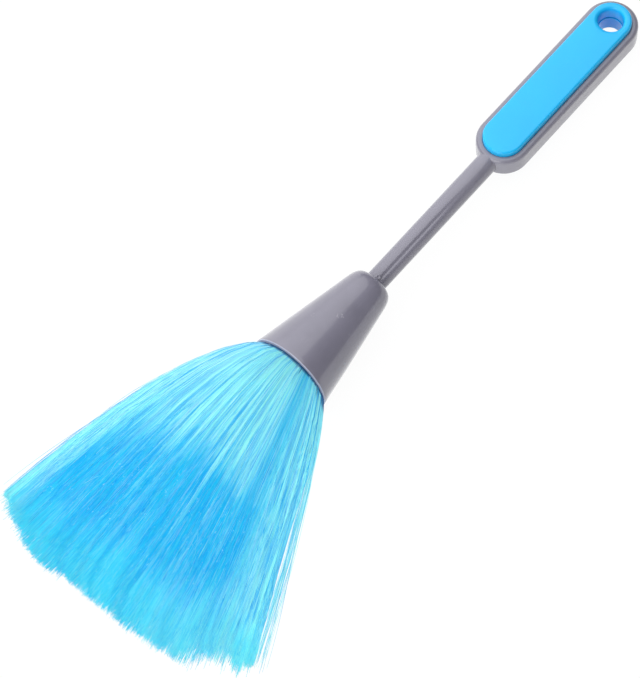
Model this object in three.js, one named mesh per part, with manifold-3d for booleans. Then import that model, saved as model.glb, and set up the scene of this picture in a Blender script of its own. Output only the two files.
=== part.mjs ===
// Soft keyboard brush: a paddle handle with two snap-in panels, slim rod, cone ferrule and a fan of bristles.
// It is modelled along its own axis: X runs from the ferrule's mouth to the handle's end, Z is up through the
// front panel. At the end the brush is laid down on its ferrule rim, its handle end and its bristles.
import * as THREE from "three";
import { mergeVertices } from "three/addons/utils/BufferGeometryUtils.js";
import Module from "manifold-3d";

// Driving dimensions, in millimetres
const fitGap = 0.3; // clearance between neighbouring pieces

const ferruleLength = 36.5;
const mouthRadius = 12.7; // outside of the ferrule at its open end
const ferruleWall = 1.5;
const shoulderLength = 5.2; // rounded stretch at the rod's end of the ferrule
const shoulderLip = 0.5; // flat ring left around the rod
const rimChamfer = 0.5; // inner edge of the mouth
const socketDepth = 15; // how far the tenon runs into the ferrule
const socketWall = 1.4;
const reliefWidth = 1.3; // free ring between the socket and the cone's wall

const rodRadius = 3.2;
const rodLength = 49.6; // rod that shows between ferrule and paddle
const tenonRadius = 2.6;
const tenonChamfer = 0.6;
const glueGrooveCount = 3;
const glueGrooveWidth = 1.2;
const glueGrooveDepth = 0.4;

const paddleHalfWidth = 8.15;
const paddleCentreDistance = 50.4; // between the centres of the two round ends
const paddleThickness = 8.2;
const paddleEdgeRound = 1.2;
const paddleRimWidth = 1.5; // wall between the paddle's side and the panel pocket
const seamWidth = 0.4; // mould line around the paddle's side
const seamDepth = 0.25;

const panelInset = 2; // how deep the panels sit in the paddle's faces
const frontPanelProud = 1.9; // height of the front panel over the paddle's face
const rearPanelProud = 0.4; // the rear one is nearly flush, because the brush lies on it
const panelEdgeRound = 0.6;
const hangingHoleRadius = 4;
const hangingHoleRound = 0.6;
const collarWall = 1.1; // wall of the panel collars that line the hanging hole
const pegCount = 3;
const pegRadius = 1.4;
const pegTubeWall = 1.2;

const plugThickness = 3.2;
const backingThickness = 4; // fused root of the bristles
const bandThickness = 0.8;
const bandWidth = 3;
const bristleLength = 84; // free length of the middle strands, from the ferrule's mouth
const tipCrown = 5; // how much less far the outermost tips reach
const mouthClearance = 0.8; // between the bristles and the ferrule's mouth
const fanHalfWidth = 48.5; // at the outermost tips
const fanThickness = 17; // in the middle of the fan, at the tips
const fanBulge = 4; // rise of the upper strands just outside the mouth
const fanSpreadPower = 0.64; // below 1 the bundle opens fastest at the mouth
const strandRadius = 0.32;
const strandRootRadius = 0.22;
const strandBend = 0.18; // place of the bend, as a share of a strand's reach
const strandCount = 344;

// Sizes that follow from the driving dimensions
const socketRadius = tenonRadius + fitGap;
const socketOuterRadius = socketRadius + socketWall;
const shoulderRadius = socketOuterRadius + reliefWidth + ferruleWall;
const shoulderStart = ferruleLength - shoulderLength;
const socketEnd = ferruleLength - socketDepth;
const shoulderEndRadius = rodRadius + shoulderLip;

const paddleStart = ferruleLength + rodLength;
const nearCentre = paddleStart + paddleHalfWidth;
const farCentre = nearCentre + paddleCentreDistance;
const pocketRadius = paddleHalfWidth - paddleRimWidth;
const panelRadius = pocketRadius - fitGap;
const frontFace = paddleThickness / 2 + frontPanelProud;
const rearFace = paddleThickness / 2 + rearPanelProud;
const panelInside = paddleThickness / 2 - panelInset;
const webHalf = panelInside - fitGap;
const collarRadius = hangingHoleRadius + collarWall;
const pegTubeRadius = pegRadius + fitGap + pegTubeWall;
const pegSpacing = paddleCentreDistance / pegCount;
const pegPlaces = Array.from({ length: pegCount }, (_, i) => nearCentre + i * pegSpacing);

const plugEnd = socketEnd - fitGap;
const plugStart = plugEnd - plugThickness;
const backingEnd = plugStart - fitGap;
const backingStart = backingEnd - backingThickness;
const tuftRadius = coneInside(backingEnd) - 2 * fitGap - bandThickness;
const bundleRadius = mouthRadius - ferruleWall - mouthClearance;
const tuftInset = fitGap / 2 + 2 * strandRootRadius;
const tuftScale = tuftRadius - strandRootRadius - Math.SQRT2 * tuftInset;

// The brush lies on the ferrule's rim and on the end of the rear panel
const panelFlatEnd = farCentre + panelRadius - panelEdgeRound;
const restSlope = (mouthRadius - rearFace) / panelFlatEnd;

const greyPlastic = { color: 0x9a98a4, roughness: 0.55, metalness: 0 };
const bluePlastic = { color: 0x37c3f6, roughness: 0.45, metalness: 0 };
const blueFilament = { color: 0x4fcdf4, roughness: 0.4, metalness: 0 };
const setGlue = { color: 0xd9cfae, roughness: 0.3, metalness: 0 };
const whiteBand = { color: 0xe4e6e8, roughness: 0.6, metalness: 0 };

// Fineness of the round shapes
const mergeTolerance = 1e-4;
const ferruleSides = 40;
const rodSides = 28;
const holeSides = 32;
const pegSides = 16;
const paddleArcSteps = 9; // per quarter turn
const paddleEdgeSteps = 3;
const panelEdgeSteps = 2;
const tuftArcSteps = 3;
const shoulderSteps = 7;
const flareSteps = 3;
const goldenAngle = Math.PI * (3 - Math.sqrt(5));

const wasm = await Module();
wasm.setup();

// Closed triangle mesh to a solid: shared corners merged, slivers at a lathe's axis dropped
function toSolid(geometry) {
  geometry.deleteAttribute("normal");
  geometry.deleteAttribute("uv");
  const merged = mergeVertices(geometry, mergeTolerance);
  const corners = merged.index.array;
  const kept = [];
  for (let i = 0; i < corners.length; i += 3) {
    const [a, b, c] = corners.slice(i, i + 3);
    if (a !== b && b !== c && c !== a) kept.push(a, b, c);
  }
  const vertProperties = new Float32Array(merged.attributes.position.array);
  return new wasm.Manifold(new wasm.Mesh({ numProp: 3, vertProperties, triVerts: new Uint32Array(kept) }));
}

function toMesh(name, solid, finish) {
  const { vertProperties, triVerts } = solid.getMesh();
  const geometry = new THREE.BufferGeometry();
  geometry.setAttribute("position", new THREE.BufferAttribute(new Float32Array(vertProperties), 3));
  geometry.setIndex(new THREE.BufferAttribute(new Uint32Array(triVerts), 1));
  const flat = geometry.toNonIndexed();
  flat.computeVertexNormals();
  const mesh = new THREE.Mesh(flat, new THREE.MeshStandardMaterial(finish));
  mesh.name = name;
  return mesh;
}

// Solid turned about the brush's axis from a profile of [x, radius] points
function turned(profile, sides = ferruleSides) {
  const points = profile.map(([x, radius]) => new THREE.Vector2(radius, x));
  return toSolid(new THREE.LatheGeometry(points, sides).rotateZ(-Math.PI / 2));
}

// Solid turned about an upright axis at x from a profile of [radius, z] points
function turnedUpright(profile, x, sides = holeSides) {
  const points = profile.map(([radius, z]) => new THREE.Vector2(radius, z));
  return toSolid(new THREE.LatheGeometry(points, sides).rotateX(Math.PI / 2).translate(x, 0, 0));
}

function uprightPin(x, radius, low, high, sides = pegSides) {
  return turnedUpright([[0, low], [radius, low], [radius, high], [0, high]], x, sides);
}

// Slab with the paddle's round-ended outline, between two heights, with both edges rounded
function paddleSlab(radius, low, high, edgeRound = 0, edgeSteps = 1) {
  const outline = new THREE.Shape();
  outline.absarc(farCentre, 0, radius, -Math.PI / 2, Math.PI / 2);
  outline.absarc(nearCentre, 0, radius, Math.PI / 2, (3 * Math.PI) / 2);
  const slab = new THREE.ExtrudeGeometry(outline, {
    depth: high - low - 2 * edgeRound,
    curveSegments: paddleArcSteps,
    bevelEnabled: edgeRound > 0,
    bevelThickness: edgeRound,
    bevelSize: edgeRound,
    bevelOffset: -edgeRound,
    bevelSegments: edgeSteps,
  });
  return toSolid(slab.translate(0, 0, low + edgeRound));
}

// Outside of the ferrule's cone, and its inner wall
function coneOutside(x) {
  return mouthRadius - ((mouthRadius - shoulderRadius) * x) / shoulderStart;
}

function coneInside(x) {
  return coneOutside(x) - ferruleWall;
}

// Points on a curve that leaves the cone along its slope and meets the flat ring around the rod square on
function shoulderPoints() {
  const curve = new THREE.QuadraticBezierCurve(
    new THREE.Vector2(shoulderStart, shoulderRadius),
    new THREE.Vector2(ferruleLength, coneOutside(ferruleLength)),
    new THREE.Vector2(ferruleLength, shoulderEndRadius),
  );
  return curve.getPoints(shoulderSteps).map((point) => [point.x, point.y]);
}

function ferrule() {
  const mouthInside = coneInside(0);
  const profile = [
    [0, mouthInside + rimChamfer],
    [0, mouthRadius],
    ...shoulderPoints(),
    [ferruleLength, socketRadius],
    [socketEnd, socketRadius],
    [socketEnd, socketOuterRadius],
    [shoulderStart, socketOuterRadius],
    [shoulderStart, coneInside(shoulderStart)],
    [rimChamfer, coneInside(rimChamfer)],
    [0, mouthInside + rimChamfer],
  ];
  return turned(profile);
}

// Rod and tenon in one turning: the rod's step stops on the ferrule, glue grooves run round the tenon
function rodWithTenon() {
  const step = ferruleLength + fitGap;
  const groovePitch = socketDepth / (glueGrooveCount + 1);
  const grooveRadius = tenonRadius - glueGrooveDepth;
  const grooves = [];
  for (let i = 1; i <= glueGrooveCount; i++) {
    const middle = socketEnd + i * groovePitch;
    const from = middle - glueGrooveWidth / 2;
    const to = middle + glueGrooveWidth / 2;
    grooves.push([from, tenonRadius], [from, grooveRadius], [to, grooveRadius], [to, tenonRadius]);
  }
  return turned([
    [socketEnd, 0],
    [socketEnd, tenonRadius - tenonChamfer],
    [socketEnd + tenonChamfer, tenonRadius],
    ...grooves,
    [step, tenonRadius],
    [step, rodRadius],
    [nearCentre, rodRadius],
    [nearCentre, 0],
  ], rodSides);
}

// Paddle with a pocket in each face, a web between them, and holes in the web for the collars and peg tubes
function handleBody() {
  const half = paddleThickness / 2;
  const over = half + rodRadius;
  const seamBand = paddleSlab(paddleHalfWidth + seamDepth, -seamWidth / 2, seamWidth / 2)
    .subtract(paddleSlab(paddleHalfWidth - seamDepth, -seamWidth, seamWidth));
  let body = paddleSlab(paddleHalfWidth, -half, half, paddleEdgeRound, paddleEdgeSteps)
    .subtract(seamBand)
    .add(rodWithTenon())
    .subtract(paddleSlab(pocketRadius, webHalf, over))
    .subtract(paddleSlab(pocketRadius, -over, -webHalf))
    .subtract(uprightPin(farCentre, collarRadius + fitGap, -half, half, holeSides));
  for (const x of pegPlaces) {
    body = body.subtract(uprightPin(x, pegTubeRadius + fitGap, -half, half));
  }
  return body;
}

// Hanging hole through one panel and its collar, flaring out in a round edge at the panel's face
function hangingHole(face) {
  const flare = [];
  for (let i = 0; i <= flareSteps; i++) {
    const turn = (i / flareSteps) * (Math.PI / 2);
    const radius = hangingHoleRadius + hangingHoleRound * (1 - Math.cos(turn));
    flare.push([radius, face - hangingHoleRound * (1 - Math.sin(turn))]);
  }
  const [flareRadius] = flare[flare.length - 1];
  const over = face + hangingHoleRound;
  const profile = [[0, -fitGap], [hangingHoleRadius, -fitGap], ...flare, [flareRadius, over], [0, over]];
  return turnedUpright(profile, farCentre);
}

// Panel with its face up: plate, collar half-way down the hanging hole, and pegs or the tubes that take them
function panel(hasPegs, face) {
  const plateMiddle = (panelInside + face) / 2;
  const reach = -panelInside + fitGap;
  let body = paddleSlab(panelRadius, panelInside, face, panelEdgeRound, panelEdgeSteps)
    .add(uprightPin(farCentre, collarRadius, fitGap / 2, plateMiddle, holeSides))
    .subtract(hangingHole(face));
  for (const x of pegPlaces) {
    body = body.add(uprightPin(x, hasPegs ? pegRadius : pegTubeRadius, reach, plateMiddle));
    if (!hasPegs) body = body.subtract(uprightPin(x, pegRadius + fitGap, reach - fitGap, panelInside));
  }
  return body;
}

// Set glue: a disc that follows the cone's inner wall
function gluePlug() {
  return turned([
    [plugStart, 0],
    [plugStart, coneInside(plugStart) - fitGap],
    [plugEnd, coneInside(plugEnd) - fitGap],
    [plugEnd, 0],
  ]);
}

// Band that binds the four tufts, in the middle of their fused root
function rootBand() {
  const inner = tuftRadius + fitGap;
  const outer = inner + bandThickness;
  const start = backingEnd - (backingThickness + bandWidth) / 2;
  const end = start + bandWidth;
  return turned([[start, inner], [start, outer], [end, outer], [end, inner], [start, inner]]);
}

// Where a strand runs: across and up name its place in the bundle, as shares of the bundle's radius.
// Inside the ferrule it goes straight from its place in the tuft to the mouth. Beyond, the bundle spreads
// sideways by a root law, swells upwards, and changes from a round section to one lying flat on the table.
function strandPlace(across, up, x) {
  if (x >= 0) {
    const toMouth = THREE.MathUtils.clamp((backingStart - x) / backingStart, 0, 1);
    const fromRoot = (share) => THREE.MathUtils.lerp(
      Math.sign(share) * tuftInset + share * tuftScale,
      share * bundleRadius,
      toMouth,
    );
    return [fromRoot(across), fromRoot(up)];
  }
  const spread = (fanHalfWidth - bundleRadius) * (-x / (bristleLength - tipCrown)) ** fanSpreadPower;
  const outward = Math.sqrt(-x / bristleLength);
  const swell = 4 * fanBulge * outward * (1 - outward) * Math.max(up, 0);
  const settle = THREE.MathUtils.smoothstep(-x, 0, bristleLength);
  const table = -mouthRadius + restSlope * x + strandRadius;
  const layer = (up + Math.sqrt(1 - across ** 2)) / 2;
  const side = across * (bundleRadius + spread);
  const height = THREE.MathUtils.lerp(up * bundleRadius + swell, table + layer * fanThickness, settle);
  return [side, height];
}

// Three-sided strands of one tuft: the right half of a sunflower pattern, mirrored for the left tufts.
// Their tips lie on a crown: those that lean out end nearer to the ferrule.
function tuftStrands(side, level) {
  const mirrorGap = 0.1 * strandRadius;
  const inset = (strandRadius + mirrorGap) / bundleRadius;
  const positions = [];
  const triangles = [];
  for (let i = 0; i < strandCount; i++) {
    const ring = (1 - 2 * inset) * Math.sqrt((i + 0.5) / strandCount);
    const turn = (i + 0.5) * goldenAngle;
    if (Math.cos(turn) < 0 || Math.sin(turn) * level < 0) continue;
    const across = inset + ring * Math.cos(turn);
    const up = ring * Math.sin(turn);
    const reach = bristleLength - tipCrown * across ** 2;
    const stations = [
      [backingStart + backingThickness / 4, strandRootRadius],
      [0, strandRadius],
      [-strandBend * reach, strandRadius],
      [-reach, strandRadius],
    ];
    const first = positions.length / 3;
    for (const [x, radius] of stations) {
      const [y, z] = strandPlace(across, up, x);
      for (let corner = 0; corner < 3; corner++) {
        const angle = turn + (corner * 2 * Math.PI) / 3;
        positions.push(x, side * (y + radius * Math.cos(angle)), z + radius * Math.sin(angle));
      }
    }
    const last = first + 3 * (stations.length - 1);
    const faces = [[first, first + 1, first + 2], [last, last + 2, last + 1]];
    for (let low = first; low < last; low += 3) {
      for (let corner = 0; corner < 3; corner++) {
        const next = (corner + 1) % 3;
        faces.push([low + corner, low + 3 + corner, low + next]);
        faces.push([low + next, low + 3 + corner, low + 3 + next]);
      }
    }
    for (const [a, b, c] of faces) {
      if (side > 0) triangles.push(a, b, c);
      else triangles.push(a, c, b);
    }
  }
  const geometry = new THREE.BufferGeometry();
  geometry.setAttribute("position", new THREE.Float32BufferAttribute(positions, 3));
  geometry.setIndex(triangles);
  return toSolid(geometry);
}

// One tuft: a quarter-round slice of fused root with its strands
function tuft(side, level) {
  const edge = fitGap / 2;
  const far = Math.sqrt(tuftRadius ** 2 - edge ** 2);
  const fromAngle = Math.atan2(level * edge, side * far);
  const toAngle = Math.atan2(level * far, side * edge);
  const quarter = new THREE.Shape();
  quarter.moveTo(side * edge, level * edge);
  quarter.lineTo(side * far, level * edge);
  quarter.absarc(0, 0, tuftRadius, fromAngle, toAngle, side * level < 0);
  const slice = new THREE.ExtrudeGeometry(quarter, {
    depth: backingThickness,
    bevelEnabled: false,
    curveSegments: tuftArcSteps,
  });
  slice.rotateX(Math.PI / 2).rotateZ(Math.PI / 2).translate(backingStart, 0, 0);
  return toSolid(slice).add(tuftStrands(side, level));
}

const brush = new THREE.Group();
brush.add(toMesh("handle_body", handleBody(), greyPlastic));
brush.add(toMesh("front_inlay", panel(true, frontFace), bluePlastic));
const rearInlay = toMesh("rear_inlay", panel(false, rearFace), bluePlastic);
rearInlay.rotation.x = Math.PI;
brush.add(rearInlay);
brush.add(toMesh("ferrule", ferrule(), greyPlastic));
brush.add(toMesh("glue_plug", gluePlug(), setGlue));
brush.add(toMesh("root_band", rootBand(), whiteBand));
for (const [level, height] of [[1, "upper"], [-1, "lower"]]) {
  for (const [side, hand] of [[1, "right"], [-1, "left"]]) {
    brush.add(toMesh(`bristles_${height}_${hand}`, tuft(side, level), blueFilament));
  }
}

// Laid on the table: the origin is in the middle of the brush's footprint
brush.rotation.y = Math.atan(restSlope);
const part = new THREE.Group();
part.add(brush);
part.updateMatrixWorld(true);
const bounds = new THREE.Box3().setFromObject(brush, true);
const middle = bounds.getCenter(new THREE.Vector3());
brush.position.set(-middle.x, -middle.y, -bounds.min.z);

export default part;
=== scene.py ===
import math

import bmesh
import bpy
import numpy as np
from mathutils import Matrix, Vector


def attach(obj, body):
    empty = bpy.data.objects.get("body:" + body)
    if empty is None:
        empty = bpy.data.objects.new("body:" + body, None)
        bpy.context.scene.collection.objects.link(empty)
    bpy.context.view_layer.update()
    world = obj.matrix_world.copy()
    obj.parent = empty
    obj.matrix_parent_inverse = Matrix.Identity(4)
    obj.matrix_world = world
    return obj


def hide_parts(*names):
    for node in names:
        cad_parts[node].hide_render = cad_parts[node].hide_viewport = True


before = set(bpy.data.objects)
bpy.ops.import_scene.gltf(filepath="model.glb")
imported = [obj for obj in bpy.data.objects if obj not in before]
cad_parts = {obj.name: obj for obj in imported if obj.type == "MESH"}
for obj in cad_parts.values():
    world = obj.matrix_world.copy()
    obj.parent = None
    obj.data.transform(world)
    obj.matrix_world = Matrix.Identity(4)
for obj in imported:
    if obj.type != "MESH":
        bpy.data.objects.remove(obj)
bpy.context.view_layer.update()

scene = bpy.context.scene
scene.view_settings.view_transform = "Standard"
print("frame loaded:", len(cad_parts), "solids")

# All shapes are worked out in millimetres in the brush's own frame: x runs along its axis from the
# ferrule's mouth (0) to the handle's end, z is up through the front panel, y is to the side. Left and
# right are as the camera sees them, +y on the left. Only the tufts are named as seen from the handle.
lying = dict(mouth=(-34.0117, 0.0, 12.68117), slope=3.1207493)  # mm on the table, degrees the axis falls


def onTable(points):
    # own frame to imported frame: turned about y by the slope, moved to the mouth's place, mm to metres
    slope = math.radians(lying["slope"])
    cos, sin = math.cos(slope), math.sin(slope)
    x, y, z = np.moveaxis(np.asarray(points, float), -1, 0)
    turned = np.stack([x * cos + z * sin, y, z * cos - x * sin], -1)
    return (turned + np.array(lying["mouth"])) / 1000


def smoothRamp(value, low, high):
    # 0 below low, 1 above high, with a soft cubic step between them
    t = np.clip((value - low) / (high - low), 0, 1)
    return t * t * (3 - 2 * t)


# Nodes of materials.
def feed(tree, node, inputs):
    # inputs by name or number: a socket is linked, a plain value is set; gives the node back
    for key, value in inputs.items():
        if isinstance(value, bpy.types.NodeSocket):
            tree.links.new(value, node.inputs[key])
        else:
            node.inputs[key].default_value = value
    return node


def newNode(tree, kind, inputs):
    # shader node of this kind with its inputs fed
    return feed(tree, tree.nodes.new("ShaderNode" + kind), inputs)


def mathNode(tree, operation, *values):
    # Math node on sockets or numbers
    node = tree.nodes.new("ShaderNodeMath")
    node.operation = operation
    return feed(tree, node, dict(enumerate(values))).outputs[0]


def vectorNode(tree, operation, inputs, output="Vector"):
    # Vector Math node on sockets or vectors
    node = tree.nodes.new("ShaderNodeVectorMath")
    node.operation = operation
    return feed(tree, node, inputs).outputs[output]


def spread(tree, value, low, high, outLow=0.0, outHigh=1.0, kind="SMOOTHSTEP"):
    # Map Range node from low..high to outLow..outHigh
    node = tree.nodes.new("ShaderNodeMapRange")
    node.interpolation_type = kind
    ends = {"From Min": low, "From Max": high, "To Min": outLow, "To Max": outHigh}
    return feed(tree, node, {"Value": value, **ends}).outputs["Result"]


def noise(tree, vector, scale, detail=2.0, roughness=0.5, output="Fac"):
    # Noise Texture node, with values mostly near a half
    inputs = {"Vector": vector, "Scale": scale, "Detail": detail, "Roughness": roughness}
    return newNode(tree, "TexNoise", inputs).outputs[output]


def stretched(tree, vector, scale):
    # coordinates scaled along each axis on its own
    return newNode(tree, "Mapping", {"Vector": vector, "Scale": scale}).outputs["Vector"]


def blended(tree, share, first, second):
    # Mix node from the first colour to the second
    node = tree.nodes.new("ShaderNodeMix")
    node.data_type = "RGBA"
    return feed(tree, node, {0: share, 6: first, 7: second}).outputs[2]


# Camera, light and floor.
shot = dict(target=(-22.407, -0.547, 15.394), azimuth=-126.6913, elevation=67.3381, roll=13.5788,
            distance=709.78, lens=132.98, sensor=36.0, clip=(0.01, 20.0))  # mm and degrees, clip in metres
studio = dict(worldLight=0.13, floorSize=4.0, floorGrey=0.82, floorGlow=0.93, glowStrength=1.03,
              mirrorStrength=1.3)
softboxes = dict(
    keyLamp=dict(toward=(0.10, 0.42, 0.90), distance=0.9, size=1.6, watts=13.2),
    sideLamp=dict(toward=(0.33, 0.94, 0.02), distance=1.0, size=0.8, watts=2.4),
    tipLamp=dict(toward=(-0.88, -0.14, 0.45), distance=1.0, size=0.7, watts=5.6),
)


def aimed(back, roll=0.0):
    # turn of a camera or lamp whose own z points along back: level with the ground, then rolled
    back = Vector(back).normalized()
    right = Vector((0, 0, 1)).cross(back).normalized()
    up = back.cross(right)
    cos, sin = math.cos(roll), math.sin(roll)
    right, up = right * cos - up * sin, up * cos + right * sin
    return Matrix((right, up, back)).transposed()


def placeCamera():
    # stands off from the target by the distance, in the direction of azimuth and elevation
    azimuth, elevation = math.radians(shot["azimuth"]), math.radians(shot["elevation"])
    level = math.cos(elevation)
    back = Vector((level * math.cos(azimuth), level * math.sin(azimuth), math.sin(elevation)))
    data = bpy.data.cameras.new("photoCamera")
    data.lens, data.sensor_width, data.sensor_fit = shot["lens"], shot["sensor"], "AUTO"
    data.clip_start, data.clip_end = shot["clip"]
    camera = bpy.data.objects.new("photoCamera", data)
    place = (Vector(shot["target"]) + back * shot["distance"]) / 1000
    camera.matrix_world = Matrix.Translation(place) @ aimed(back, math.radians(shot["roll"])).to_4x4()
    scene.collection.objects.link(camera)
    scene.camera = camera


def placeLamps():
    # square area lamps that look at the origin from their directions
    for name, lamp in softboxes.items():
        data = bpy.data.lights.new(name, "AREA")
        data.shape, data.size, data.energy = "SQUARE", lamp["size"], lamp["watts"]
        toward = Vector(lamp["toward"]).normalized()
        obj = bpy.data.objects.new(name, data)
        obj.matrix_world = Matrix.Translation(toward * lamp["distance"]) @ aimed(toward).to_4x4()
        scene.collection.objects.link(obj)


def seenDirectly(tree, *kinds):
    # 1 for camera rays and for these kinds of rays, which should meet the white background
    path = tree.nodes.new("ShaderNodeLightPath")
    seen = path.outputs["Is Camera Ray"]
    for kind in kinds:
        seen = mathNode(tree, "MAXIMUM", seen, path.outputs[f"Is {kind} Ray"])
    return seen


def whiteWorld():
    # white where it is seen, and a low even light for all other rays
    world = bpy.data.worlds.new("whiteStudio")
    world.use_nodes = True
    tree = world.node_tree
    strength = spread(tree, seenDirectly(tree, "Transmission"), 0, 1, studio["worldLight"], 1, "LINEAR")
    feed(tree, tree.nodes["Background"], {"Color": (1, 1, 1, 1), "Strength": strength})
    scene.world = world


def paleFloor():
    # matte grey for the light; where it is seen, a white glow covers most of the grey, and shadows stay
    half = studio["floorSize"] / 2
    corners = [(-half, -half, 0), (half, -half, 0), (half, half, 0), (-half, half, 0)]
    mesh = bpy.data.meshes.new("floor")
    mesh.from_pydata(corners, [], [(0, 1, 2, 3)])
    material = bpy.data.materials.new("paleFloor")
    material.use_nodes = True
    tree = material.node_tree
    tree.nodes.remove(tree.nodes["Principled BSDF"])
    mirrored = tree.nodes.new("ShaderNodeLightPath").outputs["Is Glossy Ray"]
    strength = spread(tree, mirrored, 0, 1, studio["glowStrength"], studio["mirrorStrength"], "LINEAR")
    share = mathNode(tree, "MULTIPLY", seenDirectly(tree, "Glossy", "Transmission"), studio["floorGlow"])
    matte = newNode(tree, "BsdfDiffuse", {"Color": (*[studio["floorGrey"]] * 3, 1)})
    glow = newNode(tree, "Emission", {"Strength": strength})
    mix = newNode(tree, "MixShader", {"Fac": share, 1: matte.outputs[0], 2: glow.outputs[0]})
    feed(tree, tree.nodes["Material Output"], {"Surface": mix.outputs[0]})
    mesh.materials.append(material)
    floor = bpy.data.objects.new("floor", mesh)
    scene.collection.objects.link(floor)


placeCamera()
placeLamps()
whiteWorld()
paleFloor()
print("camera, lamps and floor placed")


# Surfaces from grids of points.
meshing = dict(mergeReach=2e-6, flatReach=1e-7, sharpAngle=34)  # metres and degrees


def gridFaces(rows, cols, wrapRows, wrapCols):
    # one quad for each cell of a grid of points; a wrapped side joins its last line to its first
    i = np.arange(rows if wrapRows else rows - 1)[:, None]
    j = np.arange(cols if wrapCols else cols - 1)[None, :]
    nextI, nextJ = (i + 1) % rows, (j + 1) % cols
    corners = [i * cols + j, i * cols + nextJ, nextI * cols + nextJ, nextI * cols + j]
    return np.stack(corners, -1).reshape(-1, 4)


def fillMesh(mesh, points, quads, triangles=()):
    # points, then the corners of all quads and triangles, as whole arrays
    triangles = np.asarray(triangles, int).reshape(-1, 3)
    corners = np.concatenate([quads.ravel(), triangles.ravel()])
    sizes = np.concatenate([np.full(len(quads), 4), np.full(len(triangles), 3)])
    mesh.vertices.add(len(points))
    mesh.vertices.foreach_set("co", points.ravel())
    mesh.loops.add(len(corners))
    mesh.loops.foreach_set("vertex_index", corners)
    mesh.polygons.add(len(sizes))
    mesh.polygons.foreach_set("loop_start", np.cumsum(sizes) - sizes)
    mesh.polygons.foreach_set("loop_total", sizes)
    mesh.polygons.foreach_set("use_smooth", np.ones(len(sizes), bool))
    mesh.update(calc_edges=True)


def gridPiece(name, grids):
    # each grid is (points by row and column, rows wrap, columns wrap); poles are merged, faces point outwards
    points, quads, first = [], [], 0
    for grid, wrapRows, wrapCols in grids:
        rows, cols = grid.shape[:2]
        points.append(onTable(grid.reshape(-1, 3)))
        quads.append(first + gridFaces(rows, cols, wrapRows, wrapCols))
        first += rows * cols
    mesh = bpy.data.meshes.new(name)
    fillMesh(mesh, np.concatenate(points), np.concatenate(quads))
    work = bmesh.new()
    work.from_mesh(mesh)
    bmesh.ops.remove_doubles(work, verts=work.verts, dist=meshing["mergeReach"])
    bmesh.ops.dissolve_degenerate(work, edges=work.edges, dist=meshing["flatReach"])
    bmesh.ops.recalc_face_normals(work, faces=work.faces)
    work.to_mesh(mesh)
    work.free()
    mesh.set_sharp_from_angle(angle=math.radians(meshing["sharpAngle"]))
    piece = bpy.data.objects.new(name, mesh)
    scene.collection.objects.link(piece)
    return piece


def settle(piece, material, slotName, *nodes):
    # the piece rides on the brush, takes the given material and stands for these solids; slotName is not used
    piece.data.materials.append(material)
    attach(piece, "root")
    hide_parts(*nodes)


def arcPoints(centre, radius, fromDegrees, toDegrees, count):
    # points on a circular arc in the plane of a profile
    turn = np.radians(np.linspace(fromDegrees, toDegrees, count))
    return np.stack([centre[0] + radius * np.cos(turn), centre[1] + radius * np.sin(turn)], -1)


def turnedGrid(profile, count):
    # profile of (x, radius) carried round the brush's axis
    profile = np.asarray(profile, float)
    turn = np.linspace(0, 2 * np.pi, count, endpoint=False)[:, None]
    x = np.broadcast_to(profile[:, 0], (count, len(profile)))
    return np.stack([x, profile[:, 1] * np.cos(turn), profile[:, 1] * np.sin(turn)], -1)


def slotPath(near, far, arcSteps, sideSteps):
    # round-ended outline: each sample has a centre on the line between both end centres, and an
    # outward direction
    arc = np.linspace(-np.pi / 2, np.pi / 2, arcSteps)
    side = np.linspace(0, 1, sideSteps + 2)[1:-1]
    turn = np.concatenate([arc, np.full(sideSteps, np.pi / 2), arc + np.pi, np.full(sideSteps, -np.pi / 2)])
    centre = np.concatenate([np.full(arcSteps, far), far + (near - far) * side,
                             np.full(arcSteps, near), near + (far - near) * side])
    return centre, np.cos(turn), np.sin(turn)


def slotGrid(path, profile):
    # profile of (distance from the centre line, z) carried round the outline
    centre, outX, outY = (part[:, None] for part in path)
    reach, z = np.asarray(profile, float).T
    return np.stack(np.broadcast_arrays(centre + reach * outX, reach * outY, z), -1)


def holeGrid(path, far, reach, profile):
    # profile of (radius, z) carried round the hanging hole, each sample facing the outline at that reach
    centre, outX, outY = (part[:, None] for part in path)
    turn = np.arctan2(reach * outY, centre + reach * outX - far)
    radius, z = np.asarray(profile, float).T
    return np.stack(np.broadcast_arrays(far + radius * np.cos(turn), radius * np.sin(turn), z), -1)


# Moulded plastic: scale, detail and roughness of each noise, then the range of it that counts.
skinLook = dict(
    clouds=(110, 4, 0.6), cloudRange=(0.3, 0.7), grain=(3200, 2), rubLines=(1.0, 3, 0.6),
    rubStretch=(60, 1500, 900), rubRange=(0.56, 0.66), rubAreas=(160, 2), areaRange=(0.5, 0.72),
    specks=(900, 1), speckRange=(0.74, 0.8), rubTint=(0.8, 0.82, 0.85, 1), cloudRoughness=0.02,
    rubRoughness=0.02, rubHeight=-0.03, bump=0.35, coatRoughness=0.12,
)
scuffLook = dict(rag=1300, ragReach=0.0012, width=0.0003, breaks=900, breakRange=(0.42, 0.6),
                 tint=(0.62, 0.61, 0.68, 1))  # metres
# colour of the painted highlights along the ferrule's rim and round its back ring
paintedHighlightTint = (0.56, 0.56, 0.67, 1)


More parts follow.
